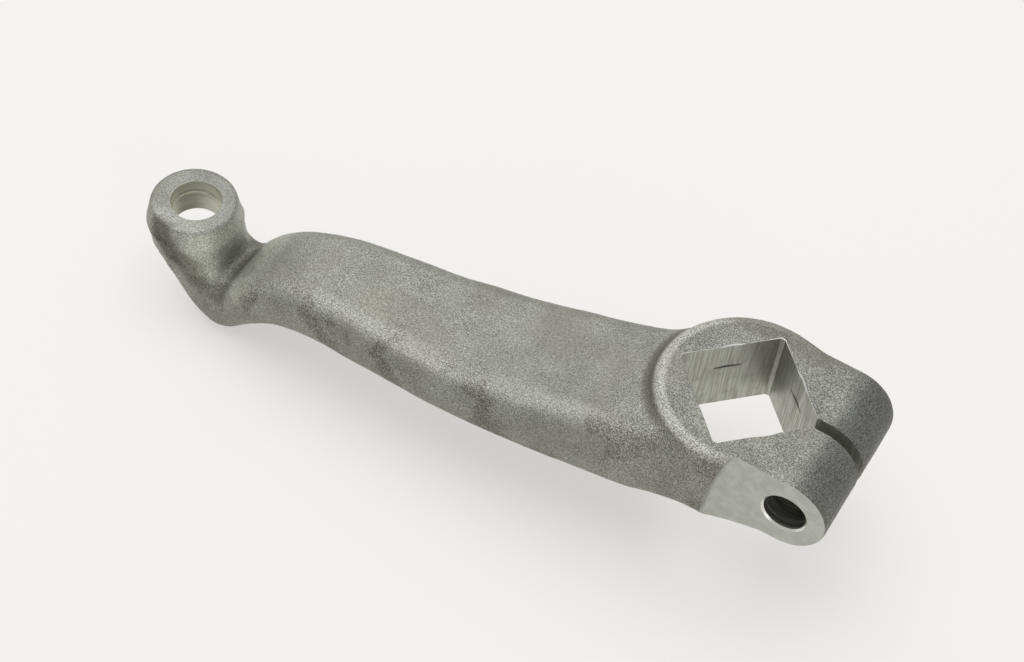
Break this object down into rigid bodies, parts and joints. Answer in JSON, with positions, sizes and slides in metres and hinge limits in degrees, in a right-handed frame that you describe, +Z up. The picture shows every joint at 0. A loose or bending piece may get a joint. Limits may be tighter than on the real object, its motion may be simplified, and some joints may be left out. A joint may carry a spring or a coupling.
{
  "type": "steering arm",
  "caption": "Cranked forged steering arm with a split square clamp socket at one end and a tie-rod eye at the other.",
  "frame": {"origin": "on the axis of the square socket, at the machined seat under the head", "axes": "+Z up along the socket axis; +X from the socket through the clamp slot; +Y along the pinch bolt, away from its visible seat"},
  "size_m": [0.2926, 0.0825, 0.0717],
  "materials": {
    "forged_steel": "shot-blasted forging skin with machined socket, bolt seats and bores"
  },
  "bodies": {
    "root": {"forged_arm": "forged_steel"}
  },
  "joints": []
}
